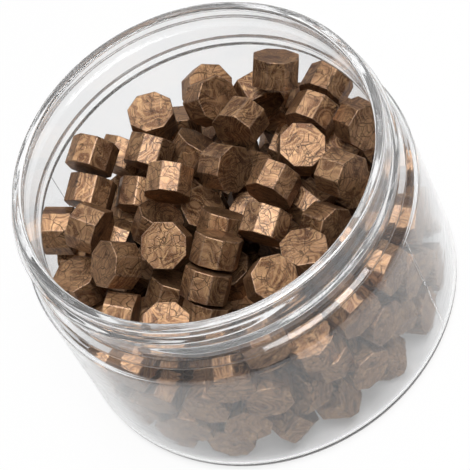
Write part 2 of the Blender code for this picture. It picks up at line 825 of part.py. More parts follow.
def build():
    """Make every piece."""
    clear_scene()
    plastic = new_material("clear_plastic", (0.92, 0.93, 0.94), 0.08, 0.0, 0.8)
    wax = new_material("bronze_wax", (0.30, 0.18, 0.09), 0.38, 0.35, 0.0)
    object_from("jar", build_jar(), plastic)
    frames, centres = laid_beads()
    laid = keep_clear(frames, ease_apart(frames, centres))
    bed = pour_bed(laid)
    let_down(laid, bed)
    build_bed(bed, wax)
    for k, (frame, centre) in enumerate(zip(laid.frames, laid.centres)):
        mesh = bmesh.new()
        add_bead(mesh, frame, np.zeros(3), BEAD_EDGE)
        thing = object_from("bead_%02d" % (k + 1), mesh, wax)
        thing.location = (centre[0], centre[1], centre[2])
    print("laid", len(laid.frames), "bed", len(bed.frames))


build()
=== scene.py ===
import json
import math
import random

import bmesh
import bpy
import numpy as np
from bpy.props import FloatProperty
from bpy.props import FloatVectorProperty
from bpy.props import IntProperty
from bpy.props import PointerProperty
from mathutils import Matrix
from mathutils import Vector


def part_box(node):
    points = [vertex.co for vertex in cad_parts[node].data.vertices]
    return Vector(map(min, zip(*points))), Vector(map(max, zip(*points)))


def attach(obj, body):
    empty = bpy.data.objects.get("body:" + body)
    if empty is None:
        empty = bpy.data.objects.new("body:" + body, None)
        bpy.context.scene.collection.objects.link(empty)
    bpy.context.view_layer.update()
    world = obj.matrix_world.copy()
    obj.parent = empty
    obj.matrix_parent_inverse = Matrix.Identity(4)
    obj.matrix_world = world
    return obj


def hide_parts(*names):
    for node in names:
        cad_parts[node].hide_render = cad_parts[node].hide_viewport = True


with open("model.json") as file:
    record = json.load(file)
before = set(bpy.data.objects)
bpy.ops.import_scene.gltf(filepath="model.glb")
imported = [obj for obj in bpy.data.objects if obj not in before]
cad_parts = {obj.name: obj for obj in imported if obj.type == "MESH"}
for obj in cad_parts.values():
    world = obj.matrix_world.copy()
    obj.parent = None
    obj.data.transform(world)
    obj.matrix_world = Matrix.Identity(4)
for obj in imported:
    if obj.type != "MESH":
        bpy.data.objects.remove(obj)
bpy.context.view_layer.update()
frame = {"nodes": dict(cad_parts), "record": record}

bl_info = {
    "name": "Jar of sealing-wax beads",
    "version": (1, 0, 0),
    "blender": (4, 5, 0),
    "location": "View3D > Sidebar > Wax jar",
    "description": "Dresses the clear jar and its bronze wax beads, and sets up the studio",
    "category": "Object",
}

JAR_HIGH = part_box("jar")[1]
MM = 0.001
FACETS = 8
NECK_SLOT = 0
BODY_SLOT = 1
ON_NECK = 0.05 * MM
IMAGE_WIDE = 470
SENSOR_WIDE = 36.0
WHITE = (1.0, 1.0, 1.0, 1.0)

# The largest share of a side that the rounding of one corner takes up, and the shortest rounding made
CORNER_SHARE = 0.48
LEAST_ROUND = 0.001 * MM

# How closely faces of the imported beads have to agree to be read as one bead
SAME_POINT = 0.001 * MM
SAME_PLANE = 0.05 * MM
SAME_MIDDLE = 0.15 * MM
SMALL_FACE = 0.02 * MM * MM
SAME_WAY = 0.9995
ALONG = 0.999
ACROSS = 0.02
HOLLOW_EDGE = -0.02

# First numbers of the random draws
BED_SEED = 400
GRAIN_SEED = 7000

# How far the wax's pattern moves from bead to bead in millimetres, and how its streaks are drawn out
BEAD_SHIFT = (531.0, 917.0, 1.0)
STREAK_STRETCH = (0.35, 2.4, 0.6)

# How far from a bead's middle, in millimetres, the lines of its ends begin and are whole
END_ZONE = (2.6, 2.75)


def length(name, description, default):
    """A size in metres that a user may change."""
    return FloatProperty(name=name, description=description, default=default, unit="LENGTH", precision=5)


def amount(name, description, default):
    """A plain number that a user may change."""
    return FloatProperty(name=name, description=description, default=default, precision=3)


def bearing(name, description, degrees):
    """An angle that a user may change."""
    return FloatProperty(name=name, description=description, default=math.radians(degrees), subtype="ANGLE")


def direction(name, description, default):
    """A direction that a user may change: to the right and up in the picture, and to the camera."""
    return FloatVectorProperty(name=name, description=description, default=default, size=3, precision=3)


def tint(name, description, default):
    """A colour that a user may change."""
    return FloatVectorProperty(
        name=name, description=description, default=default, subtype="COLOR", size=3, min=0.0, max=1.0
    )


class JarSizes(bpy.types.PropertyGroup):
    """Sizes of the clear jar."""

    height: length("Height", "From the base to the lip", JAR_HIGH.z)
    body: length("Body radius", "Outside of the body wall", JAR_HIGH.x)
    rim: length("Rim radius", "Outside of the neck without its thread", 36.5 * MM)
    neck: length("Neck height", "From the shoulder to the lip", 15.5 * MM)
    lip: length("Lip width", "Width of the lip", 2.05 * MM)
    lip_round: length("Lip rounding", "Rounding of the lip's two edges", 0.7 * MM)
    wall: length("Wall", "Thickness of the body wall", 1.2 * MM)
    base: length("Base thickness", "Thickness of the floor", 1.4 * MM)
    base_corner: length("Base corner", "Rounding between base and body", 3.3 * MM)
    base_ring: length("Base ring", "Width of the ring the jar stands on", 4.0 * MM)
    ring_round: length("Ring rounding", "Rounding of the standing ring's inner edge", 0.6 * MM)
    hollow: length("Base hollow", "Depth of the hollow under the base", 0.5 * MM)
    floor_corner: length("Floor corner", "Rounding between floor and wall", 2.0 * MM)
    neck_inside: length("Neck inside depth", "Depth of the straight bore of the neck", 12.2 * MM)
    flare: length("Flare drop", "Height over which the bore widens to the body", 4.0 * MM)
    flare_round: length("Flare rounding", "Rounding at both ends of the flare", 2.5 * MM)
    shoulder_round: length("Shoulder rounding", "Rounding between the body and the shoulder", 1.1 * MM)
    thread_rise: length("Thread height", "How far the thread stands out", 1.15 * MM)
    thread_lead: length("Thread lead", "Drop of the thread in one turn", 4.2 * MM)
    thread_root: length("Thread root", "Width of the thread at the neck", 3.0 * MM)
    thread_crest: length("Thread crest", "Width of the thread at its top", 1.3 * MM)
    thread_drop: length("Thread drop", "Start of the thread under the lip", 2.7 * MM)
    thread_start: bearing("Thread start", "Where the thread begins", -77.5)
    thread_sweep: bearing("Thread sweep", "How far round the thread runs", 420.0)
    thread_runout: bearing("Thread run-out", "Length of the thread's tapered ends", 26.0)
    collar_drop: length("Collar drop", "Top of the collar under the lip", 10.9 * MM)
    collar_depth: length("Collar depth", "Height of the collar ring", 1.7 * MM)
    collar_reach: length("Collar reach", "How far the collar stands out", 1.3 * MM)
    collar_round: length("Collar rounding", "Rounding of the collar's edges", 0.3 * MM)
    collar_top_round: length("Collar top rounding", "Rounding of the collar's upper outer edge", 0.35 * MM)
    around: IntProperty(name="Steps round", description="Faces round the jar", default=288, min=24)
    corner_steps: IntProperty(name="Corner steps", description="Steps in a rounded corner", default=6, min=1)
    row: length("Row height", "Height of a row of faces on the thread", 0.16 * MM)
    plain_row: length("Plain row height", "Height of a row of faces elsewhere", 1.5 * MM)


class JarLook(bpy.types.PropertyGroup):
    """Finish of the clear plastic."""

    clear: tint("Clear plastic", "Tint of the clear plastic", (0.965, 0.97, 0.975))
    shade: tint("Shade", "How much of a lamp's light passes each wall", (0.93, 0.93, 0.93))
    bend: amount("Refraction", "Index of refraction", 1.49)
    gloss: amount("Roughness", "Roughness of the polished neck", 0.02)
    body_gloss: amount("Body roughness", "Roughness of the body wall", 0.015)
    haze: amount("Body haze", "Share of the body wall's light that it scatters", 0.0)
    neck_haze: amount("Neck haze", "Share of the neck's light that it scatters", 0.03)
    seam: bearing("Mould seam", "Where the mould's seam runs down the body", -46.25)
    seam_width: amount("Seam width", "Half the width of the seam, in radians", 0.005)
    seam_rise: amount("Seam rise", "How high the seam stands against the ripples", 2.0)
    marks: amount("Turning marks", "Fine turning marks to a metre", 900.0)
    mark_rise: amount("Mark rise", "How high the turning marks stand against the ripples", 0.35)
    waver: amount("Waver", "How often the turning marks waver in a metre", 38.0)
    ripples: amount("Ripples", "Ripples to a metre", 90.0)
    relief: length("Relief", "Height of the ripples", 0.2 * MM)
    relief_share: amount("Relief share", "How much of that height the light shows", 0.25)


class BeadSizes(bpy.types.PropertyGroup):
    """Sizes of one wax bead."""

    width: length("Width", "Across two flats", 9.0 * MM)
    thick: length("Thickness", "From end to end", 6.0 * MM)
    edge: length("Edge", "Rounding of the bead's edges", 0.22 * MM)
    uneven: amount("Unevenness", "Share by which a bead's corners differ", 0.03)
    slant: length("Slant", "How much lower one side of an end may lie", 0.12 * MM)


class WaxLook(bpy.types.PropertyGroup):
    """Finish of the pearly wax."""

    deep: tint("Deep bronze", "Darkest wax", (0.1, 0.037, 0.011))
    bronze: tint("Bronze", "Main colour of the wax", (0.285, 0.152, 0.075))
    # The pale bronze also paints a highlight on the rounded edges.
    pale: tint("Pale bronze", "Pearl specks", (0.53, 0.4, 0.31))
    gold: tint("Gold streak", "Thin bright streaks", (0.52, 0.32, 0.16))
    vein: tint("Vein", "Crackle lines", (0.022, 0.009, 0.003))
    sheen: tint("Sheen", "Colour of the sheen at a low angle", (0.5, 0.34, 0.22))
    metal: amount("Metal", "How metallic the pearl is", 0.85)
    rough: amount("Roughness", "Roughness of the wax", 0.5)
    coat: amount("Coat", "Share of the clear coat that gives the pearl its white gleam", 0.35)
    coat_rough: amount("Coat roughness", "Roughness of the clear coat", 0.32)
    vein_width: amount("Vein width", "Half the width of a crackle line in millimetres", 0.085)
    vein_cells: amount("Vein cells", "Cells of the main crackle to a millimetre", 0.42)
    fine_cells: amount("Fine cells", "Cells of the fine crackle to a millimetre", 0.6)
    ring_gap: amount("Ring gap", "Step between two rings on an end, halved, in millimetres", 0.42)
    ring_width: amount("Ring width", "Half the width of a ring, in millimetres", 0.09)
    rays: amount("Rays", "Rays on an end to a radian", 1.75)
    ray_width: amount("Ray width", "Width of a ray against the gap between two", 0.13)
    grain: amount("Grain", "How many lines of grain the wax's slow drift makes", 9.0)
    grain_width: amount("Grain width", "Width of a line of grain against the gap between two", 0.08)
    glint_width: amount("Glint width", "The same for the gold beside it", 0.12)
    speck_share: amount("Speck share", "How much of the pale bronze a speck shows", 0.45)
    streak_share: amount("Streak share", "How much of the gold a streak shows", 0.65)
    glint_share: amount("Glint share", "How much of the gold shows beside the grain", 0.35)
    # Painted highlight: the share of pale bronze laid on the rounded edges.
    edge_highlight_share: amount("Edge share", "How much of the pale bronze a rounded edge shows", 0.12)
    grain_depth: amount("Grain depth", "How strong the grain is against the other lines", 0.6)
    line_depth: amount("Line depth", "How much of the vein colour a line shows", 0.78)
    warp_scale: amount("Warp scale", "How often the swirls turn in a millimetre", 0.3)
    warp_reach: amount("Warp reach", "How far the swirls bend the wax, in millimetres", 4.0)
    flow_scale: amount("Flow scale", "Swirls of dark and bronze to a millimetre", 0.22)
    streak_scale: amount("Streak scale", "Gold streaks to a millimetre", 0.9)
    speck_scale: amount("Speck scale", "Pearl specks to a millimetre", 5.0)
    patch_scale: amount("Patch scale", "Patches with and without fine lines to a millimetre", 0.45)
    drift_scale: amount("Drift scale", "How often the grain turns in a millimetre", 0.13)
    relief: length("Relief", "Depth of the lines and streaks", 0.1 * MM)
    relief_share: amount("Relief share", "How much of that depth the light shows", 0.4)


class StudioLook(bpy.types.PropertyGroup):
    """Floor, lamps and camera."""

    rise: bearing("Rise", "How high the camera looks from", 52.58)
    roll: bearing("Roll", "How far the picture is turned", -28.89)
    distance: length("Distance", "From the camera to the middle of the rim", 511.0 * MM)
    rim_right: amount("Rim to the right", "Picture column of the middle of the rim, in pixels", 195.0)
    rim_down: amount("Rim down", "Picture row of the middle of the rim, in pixels", 160.8)
    reach: amount("Reach", "Distance of the picture plane, in pixels", 2738.4)
    floor: tint("Floor", "Colour of the floor", (0.9, 0.9, 0.9))
    floor_size: length("Floor size", "Length of each side of the floor", 6.0)
    floor_gap: length("Floor gap", "How far the floor lies under the jar", 0.05 * MM)
    floor_white: amount("Floor white", "Share of plain white that the camera sees on the floor", 0.95)
    floor_under: amount("Floor under the jar", "The same share where the jar shades it", 0.22)
    floor_gloss: amount("Floor in a gloss", "How much of that white a reflection shows", 0.58)
    key: amount("Main lamp", "Power of the main soft lamp in watts", 5.0)
    key_size: length("Main lamp width", "Width of the main lamp", 360.0 * MM)
    key_way: direction("Main lamp way", "Where the main lamp stands", (-0.08, 0.48, 1.0))
    fill: amount("Side lamp", "Power of the side lamp in watts", 0.6)
    fill_size: length("Side lamp width", "Width of the side lamp", 300.0 * MM)
    fill_way: direction("Side lamp way", "Where the side lamp stands", (-0.3, 0.9, 0.5))
    lamp_distance: length("Lamp distance", "From the lamps to the jar", 650.0 * MM)
    lamp_aim: length("Lamp aim", "Height on the jar's axis that the lamps point at", JAR_HIGH.z * 0.7)
    sky: amount("Sky", "Strength of the light from all round", 0.02)
    dim_side: amount("Dim side", "How bright the room in front shows in a gloss", 0.03)
    dim_through: amount("Dim side through plastic", "The same where it shows through the plastic", 0.2)
    room_rise: bearing("Bright side", "How high the middle of the room's bright side is", 42.0)
    room_near: amount("Room dim to", "Cosine from that middle at which the room begins to brighten", 0.15)
    room_far: amount("Room white from", "Cosine from that middle at which the room is white", 0.85)


def add_node(tree, kind, inputs=None, **settings):
    """Adds one shader node, and sets or links each of the inputs given."""
    node = tree.nodes.new(kind)
    for key, value in settings.items():
        setattr(node, key, value)
    for key, value in (inputs or {}).items():
        if isinstance(value, bpy.types.NodeSocket):
            tree.links.new(value, node.inputs[key])
        else:
            node.inputs[key].default_value = value
    return node


def maths(tree, operation, first, second=0.0, third=0.0):
    """One Math node."""
    node = add_node(tree, "ShaderNodeMath", {0: first, 1: second, 2: third}, operation=operation)
    return node.outputs[0]


def vectors(tree, operation, first, second=(0.0, 0.0, 0.0)):
    """One Vector Math node that gives a vector."""
    node = add_node(tree, "ShaderNodeVectorMath", {0: first, 1: second}, operation=operation)
    return node.outputs[0]


def stretched(tree, value, low, high, start=0.0, end=1.0):
    """A value eased from one range to another."""
    inputs = {"Value": value, "From Min": low, "From Max": high, "To Min": start, "To Max": end}
    node = add_node(tree, "ShaderNodeMapRange", inputs, interpolation_type="SMOOTHSTEP")
    return node.outputs[0]


def blended(tree, factor, first, second):
    """Two colours mixed by a factor."""
    node = add_node(tree, "ShaderNodeMix", data_type="RGBA")
    for index, value in ((0, factor), (6, first), (7, second)):
        if isinstance(value, bpy.types.NodeSocket):
            tree.links.new(value, node.inputs[index])
        else:
            node.inputs[index].default_value = value
    return node.outputs[2]


def noise(tree, place, scale, detail, roughness=0.5):
    """A Noise texture node."""
    inputs = {"Vector": place, "Scale": scale, "Detail": detail, "Roughness": roughness}
    return add_node(tree, "ShaderNodeTexNoise", inputs)


def raised(tree, height, look):
    """A normal for small relief of the depth and strength that a look gives."""
    inputs = {"Strength": look.relief_share, "Distance": look.relief, "Height": height}
    return add_node(tree, "ShaderNodeBump", inputs).outputs[0]


def with_alpha(colour):
    """A colour with a fourth number."""
    return (colour[0], colour[1], colour[2], 1.0)


def empty_material(name):
    """A material with only its output node."""
    material = bpy.data.materials.new(name)
    material.use_nodes = True
    material.node_tree.nodes.clear()
    output = add_node(material.node_tree, "ShaderNodeOutputMaterial")
    return material, material.node_tree, output


def rounded_line(corners, steps):
    """Points along a line whose corners are rounded. A corner is radius, height and rounding."""
    points = [Vector(corners[0][:2])]
    for before, corner, after in zip(corners, corners[1:], corners[2:]):
        here = Vector(corner[:2])
        back = Vector(before[:2]) - here
        ahead = Vector(after[:2]) - here
        turn = back.angle(ahead)
        reach = corner[2] / math.tan(turn / 2.0)
        reach = min(reach, back.length * CORNER_SHARE, ahead.length * CORNER_SHARE)
        if reach < LEAST_ROUND:
            points.append(here)
            continue
        start = here + back.normalized() * reach
        end = here + ahead.normalized() * reach
        for k in range(steps + 1):
            t = k / steps
            points.append(start * (1 - t) * (1 - t) + here * 2 * t * (1 - t) + end * t * t)
    points.append(Vector(corners[-1][:2]))
    return points


def jar_corners(jar):
    """The jar's section, from under the middle of the base, up the outside and down the inside."""
    shoulder = jar.height - jar.neck
    collar = jar.height - jar.collar_drop
    foot = collar - jar.collar_depth
    swell = jar.body - jar.rim
    slope = foot - shoulder
    ring = jar.body - jar.base_corner - jar.base_ring
    bore = jar.rim - jar.lip
    inside = jar.body - jar.wall
    low = jar.height - jar.neck_inside
    shoulder_edge = (jar.rim + swell * 0.9, shoulder + slope * 0.2, 0.5 * MM)
    shoulder_slope = (jar.rim + swell * 0.6, foot - slope * 0.4, 1.2 * MM)
    collar_foot = (jar.rim + swell * 0.2, foot, 0.4 * MM)
    collar_out = jar.rim + jar.collar_reach
    collar_low = collar - jar.collar_depth * 0.65
    collar_high = collar - jar.collar_depth * 0.3
    return [
        (0.0, jar.hollow, 0.0),
        (ring - jar.hollow, jar.hollow, jar.ring_round),
        (ring, 0.0, jar.ring_round),
        (jar.body, 0.0, jar.base_corner),
        (jar.body, shoulder, jar.shoulder_round),
        shoulder_edge,
        shoulder_slope,
        collar_foot,
        (collar_out, collar_low, jar.collar_round),
        (collar_out, collar_high, jar.collar_top_round),
        (jar.rim, collar, jar.collar_round),
        (jar.rim, jar.height, jar.lip_round),
        (bore, jar.height, jar.lip_round),
        (bore, low, jar.flare_round),
        (inside, low - jar.flare, jar.flare_round),
        (inside, jar.base, jar.floor_corner),
        (0.0, jar.base, 0.0),
    ]


def close_rows(points, jar):
    """The same line with long steps cut up, finest where the thread is."""
    collar = jar.height - jar.collar_drop
    rows = [points[0]]
    for first, second in zip(points, points[1:]):
        middle = (first + second) / 2.0
        on_thread = middle.x > jar.rim - 2.0 * ON_NECK and collar < middle.y < jar.height - 2.0 * ON_NECK
        step = jar.row if on_thread else jar.plain_row
        count = max(1, math.ceil((second - first).length / step))
        for k in range(count):
            rows.append(first.lerp(second, (k + 1) / count))
    return rows


def thread_rises(jar, angle, heights):
    """How far the thread stands out at one bearing, for each height."""
    rise = np.zeros(len(heights))
    turned = (jar.thread_start - angle) % math.tau
    flank = (jar.thread_root - jar.thread_crest) / 2.0
    while turned <= jar.thread_sweep:
        middle = jar.height - jar.thread_drop - jar.thread_lead * turned / math.tau
        share = np.clip((jar.thread_root / 2.0 - np.abs(heights - middle)) / flank, 0.0, 1.0)
        share = share * share * (3.0 - 2.0 * share)
        ends = min(turned, jar.thread_sweep - turned, jar.thread_runout) / jar.thread_runout
        rise = np.maximum(rise, jar.thread_rise * share * ends * ends * (3.0 - 2.0 * ends))
        turned += math.tau
    return rise


def jar_mesh(jar):
    """The clear jar as one turned skin. Its first slot is the neck, its second the body wall."""
    rows = close_rows(rounded_line(jar_corners(jar), jar.corner_steps), jar)
    radius = np.array([p.x for p in rows])
    height = np.array([p.y for p in rows])
    collar = jar.height - jar.collar_drop
    threaded = (radius > jar.rim - ON_NECK) & (height > collar) & (height < jar.height - jar.lip_round)
    points = [(0.0, 0.0, height[0])]
    for k in range(jar.around):
        angle = math.tau * k / jar.around
        out = radius.copy()
        out[threaded] += thread_rises(jar, angle, height[threaded])
        column = np.stack([out * math.cos(angle), out * math.sin(angle), height], axis=1)
        points.extend(map(tuple, column[1:-1]))
    points.append((0.0, 0.0, height[-1]))
    per = len(rows) - 2
    shoulder = jar.height - jar.neck
    faces = []
    slots = []
    for k in range(jar.around):
        here = 1 + k * per
        there = 1 + (k + 1) % jar.around * per
        faces.append((0, there, here))
        slots.append(BODY_SLOT)
        for j in range(per - 1):
            faces.append((here + j, there + j, there + j + 1, here + j + 1))
            middle = (height[j + 1] + height[j + 2]) / 2.0
            on_wall = middle < shoulder and radius[j + 1] > jar.body - jar.wall / 2.0
            slots.append(BODY_SLOT if on_wall else NECK_SLOT)
        faces.append((here + per - 1, there + per - 1, len(points) - 1))
        slots.append(NECK_SLOT)
    mesh = bpy.data.meshes.new("clear_jar")
    mesh.from_pydata(points, [], faces)
    mesh.polygons.foreach_set("material_index", slots)
    mesh.shade_smooth()
    mesh.update()
    return mesh


def clear_plastic(name, look, gloss, haze, seamed):
    """Clear moulded plastic with faint turning marks, through which lamps light what is inside."""
    material, tree, output = empty_material(name)
    place = add_node(tree, "ShaderNodeTexCoord").outputs["Object"]
    split = add_node(tree, "ShaderNodeSeparateXYZ", {0: place})
    flat = add_node(tree, "ShaderNodeCombineXYZ", {0: split.outputs[0], 1: split.outputs[1]})
    radius = add_node(tree, "ShaderNodeVectorMath", {0: flat.outputs[0]}, operation="LENGTH").outputs[1]
    slow = noise(tree, place, look.waver, 2.0).outputs[0]
    out = maths(tree, "MULTIPLY", radius, look.marks)
    level = maths(tree, "MULTIPLY", split.outputs[2], look.marks)
    marks_at = add_node(tree, "ShaderNodeCombineXYZ", {0: out, 1: level, 2: slow})
    marks = noise(tree, marks_at.outputs[0], 1.0, 3.0, 0.6).outputs[0]
    ripple = noise(tree, place, look.ripples, 2.0).outputs[0]
    relief = maths(tree, "MULTIPLY_ADD", marks, look.mark_rise, ripple)
    if seamed:
        turn = maths(tree, "ARCTAN2", split.outputs[1], split.outputs[0])
        off = maths(tree, "PINGPONG", maths(tree, "SUBTRACT", turn, look.seam), math.pi / 2.0)
        line = stretched(tree, off, look.seam_width * 0.2, look.seam_width, 1.0, 0.0)
        relief = maths(tree, "MULTIPLY_ADD", line, look.seam_rise, relief)
    bump = raised(tree, relief, look)
    rough = stretched(tree, ripple, 0.3, 0.75, gloss * 0.6, gloss * 1.5)
    shader = add_node(
        tree,
        "ShaderNodeBsdfPrincipled",
        {
            "Base Color": with_alpha(look.clear),
            "Roughness": rough,
            "IOR": look.bend,
            "Transmission Weight": 1.0 - haze,
            "Normal": bump,
        },
    )
    through = add_node(tree, "ShaderNodeBsdfTransparent", {"Color": with_alpha(look.shade)})
    path = add_node(tree, "ShaderNodeLightPath")
    passing = maths(tree, "MAXIMUM", path.outputs["Is Shadow Ray"], path.outputs["Is Diffuse Ray"])
    mixed = add_node(tree, "ShaderNodeMixShader", {0: passing, 1: shader.outputs[0], 2: through.outputs[0]})
    tree.links.new(mixed.outputs[0], output.inputs["Surface"])
    return material


def plane_list(faces):
    """The planes among some faces, each as normal, distance from the origin and area."""
    planes = []
    for face in sorted(faces, key=lambda f: -f.calc_area()):
        area = face.calc_area()
        if area < SMALL_FACE:
            continue
        normal = np.array(face.normal)
        offset = float(normal @ np.array(face.calc_center_median()))
        for plane in planes:
            if plane[0] @ normal > SAME_WAY and abs(plane[1] - offset) < SAME_PLANE:
                plane[2] += area
                break
        else:
            planes.append([normal, offset, area])
    return planes


def bead_place(faces, bead):
    """Finds where an octagonal bead lies from the faces that show of it. None where too few show."""
    planes = plane_list(faces)
    best = None
    for axis, _, _ in planes:
        ends = [p for p in planes if abs(p[0] @ axis) > ALONG]
        sides = [p for p in planes if abs(p[0] @ axis) < ACROSS]
        if not sides:
            continue
        across = np.cross(axis, sides[0][0])
        step = math.tau / FACETS
        turns = [math.atan2(p[0] @ across, p[0] @ sides[0][0]) for p in sides]
        sides = [p for p, t in zip(sides, turns) if abs(t - round(t / step) * step) < ACROSS]
        rows = np.array([p[0] for p in ends + sides])
        away = [p[1] - bead.thick / 2.0 for p in ends] + [p[1] - bead.width / 2.0 for p in sides]
        if np.linalg.matrix_rank(rows, tol=0.1) < 3:
            continue
        middle = np.linalg.lstsq(rows, np.array(away), rcond=None)[0]
        miss = np.abs(rows @ middle - away).max()
        matched = sum(p[2] for p in ends + sides)
        if miss < SAME_MIDDLE and (best is None or matched > best[0]):
            best = (matched, axis, sides[0][0], middle)
    if best is None:
        return None
    _, axis, side, middle = best
    place = Matrix.Identity(4)
    for k in range(3):
        place[k][0] = side[k]
        place[k][1] = float(np.cross(axis, side)[k])
        place[k][2] = axis[k]
        place[k][3] = middle[k]
    return place


def on_bead(face, place, bead):
    """Whether a face lies on the skin of a bead at one place."""
    here = place.inverted() @ face.calc_center_median()
    way = place.to_3x3().inverted() @ face.normal
    if abs(way.z) > 0.9:
        return abs(abs(here.z) - bead.thick / 2.0) < SAME_PLANE
    off = abs(here.x * way.x + here.y * way.y - bead.width / 2.0)
    return off < SAME_PLANE and abs(here.z) < bead.thick / 2.0


def bead_places(node, bead):
    """Where each bead of a CAD node lies. Joined beads meet only in hollow edges, so those part them."""
    mesh = bmesh.new()
    mesh.from_mesh(frame["nodes"][node].data)
    bmesh.ops.remove_doubles(mesh, verts=mesh.verts, dist=SAME_POINT)
    mesh.faces.ensure_lookup_table()
    seen = set()
    places = []
    for face in mesh.faces:
        if face.index in seen:
            continue
        seen.add(face.index)
        patch = [face]
        for current in patch:
            for edge in current.edges:
                if len(edge.link_faces) != 2 or edge.calc_face_angle_signed() < HOLLOW_EDGE:
                    continue
                for other in edge.link_faces:
                    if other.index not in seen:
                        seen.add(other.index)
                        patch.append(other)
        place = bead_place(patch, bead)
        while place is not None:
            places.append(place)
            patch = [other for other in patch if not on_bead(other, place, bead)]
            place = bead_place(patch, bead)
    mesh.free()
    return places


def bead_shape(bead, seed):
    """One bead about its own middle: points, faces and which faces are rounded edges."""
    chance = random.Random(seed)
    mesh = bmesh.new()
    rings = []
    reach = bead.width / 2.0 / math.cos(math.pi / FACETS)
    cut = [1.0 - bead.uneven * chance.random() for _ in range(FACETS)]
    for end in (1.0, -1.0):
        ring = []
        lean = chance.uniform(0.0, math.tau)
        for k in range(FACETS):
            angle = math.tau * (k + 0.5) / FACETS
            low = bead.slant * (1.0 + math.cos(angle - lean)) / 2.0
            out = reach * cut[k]
            level = end * (bead.thick / 2.0 - low)
            ring.append(mesh.verts.new((out * math.cos(angle), out * math.sin(angle), level)))
        rings.append(ring)
    mesh.faces.new(rings[0])
    mesh.faces.new(list(reversed(rings[1])))
    for k in range(FACETS):
        after = (k + 1) % FACETS
        mesh.faces.new((rings[0][k], rings[1][k], rings[1][after], rings[0][after]))
    made = bmesh.ops.bevel(
        mesh,
        geom=list(mesh.edges),
        offset=bead.edge,
        segments=3,
        profile=0.5,
        affect="EDGES",
        clamp_overlap=True,
    )
    edges = set(made["faces"])
    mesh.verts.index_update()
    points = np.array([v.co for v in mesh.verts])
    faces = [[v.index for v in f.verts] for f in mesh.faces]
    rounded = [1.0 if f in edges else 0.0 for f in mesh.faces]
    mesh.free()
    return points, faces, rounded


def bead_object(name, places, bead, material, first_seed, home):
    """One object of one or more beads. Each point keeps its place on its own bead, in millimetres."""
    points = []
    local = []
    seeds = []
    faces = []
    rounded = []
    for k, place in enumerate(places):
        shape, sides, edges = bead_shape(bead, first_seed + k)
        start = len(points)
        moved = home.inverted() @ place
        points.extend(tuple(moved @ Vector(p)) for p in shape)
        local.extend(shape / MM)
        seeds.extend([random.Random(first_seed + k + GRAIN_SEED).random()] * len(shape))
        faces.extend([start + index for index in side] for side in sides)
        rounded.extend(edges)
    mesh = bpy.data.meshes.new(name)
    mesh.from_pydata(points, [], faces)
    mesh.shade_smooth()
    spots = mesh.attributes.new("bead_place", "FLOAT_VECTOR", "POINT")
    spots.data.foreach_set("vector", np.array(local).ravel())
    mesh.attributes.new("bead_seed", "FLOAT", "POINT").data.foreach_set("value", seeds)
    mesh.attributes.new("bead_edge", "FLOAT", "FACE").data.foreach_set("value", rounded)
    mesh.materials.append(material)
    thing = bpy.data.objects.new(name, mesh)
    bpy.context.scene.collection.objects.link(thing)
    thing.matrix_world = home
    even = thing.modifiers.new("Even shading", "WEIGHTED_NORMAL")
    even.weight = 90
    return thing


def thin_line(tree, value, width):
    """One where a value is within a width of nought."""
    return stretched(tree, maths(tree, "ABSOLUTE", value), width * 0.4, width, 1.0, 0.0)


def crackle(tree, place, scale, width):
    """Thin lines along the edges of irregular cells, with the scale in cells to a millimetre."""
    inputs = {"Vector": place, "Scale": scale}
    cells = add_node(tree, "ShaderNodeTexVoronoi", inputs, feature="DISTANCE_TO_EDGE").outputs[0]
    return stretched(tree, cells, width * scale * 0.3, width * scale, 1.0, 0.0)


def on_ends(tree, place):
    """One on the two ends of a bead."""
    split = add_node(tree, "ShaderNodeSeparateXYZ", {0: place})
    return stretched(tree, maths(tree, "ABSOLUTE", split.outputs[2]), *END_ZONE)


def end_lines(tree, place, warp, seed, look):
    """Growth rings on the ends of some beads and rays on those of others."""
    off = vectors(tree, "MULTIPLY", warp, (0.55, 0.55, 0.0))
    disc = vectors(tree, "MULTIPLY", vectors(tree, "ADD", place, off), (1.0, 1.0, 0.0))
    radius = add_node(tree, "ShaderNodeVectorMath", {0: disc}, operation="LENGTH").outputs[1]
    ring_step = maths(tree, "PINGPONG", maths(tree, "ADD", radius, seed), look.ring_gap)
    rings = thin_line(tree, ring_step, look.ring_width)
    flat = add_node(tree, "ShaderNodeSeparateXYZ", {0: disc})
    turn = maths(tree, "ARCTAN2", flat.outputs[1], flat.outputs[0])
    ray_step = maths(tree, "PINGPONG", maths(tree, "MULTIPLY_ADD", turn, look.rays, seed), 0.5)
    rays = thin_line(tree, maths(tree, "MULTIPLY", ray_step, radius), look.ray_width)
    ringed = stretched(tree, seed, 0.5, 0.52)
    lines = blended(tree, ringed, rays, rings)
    return maths(tree, "MULTIPLY", lines, on_ends(tree, place))


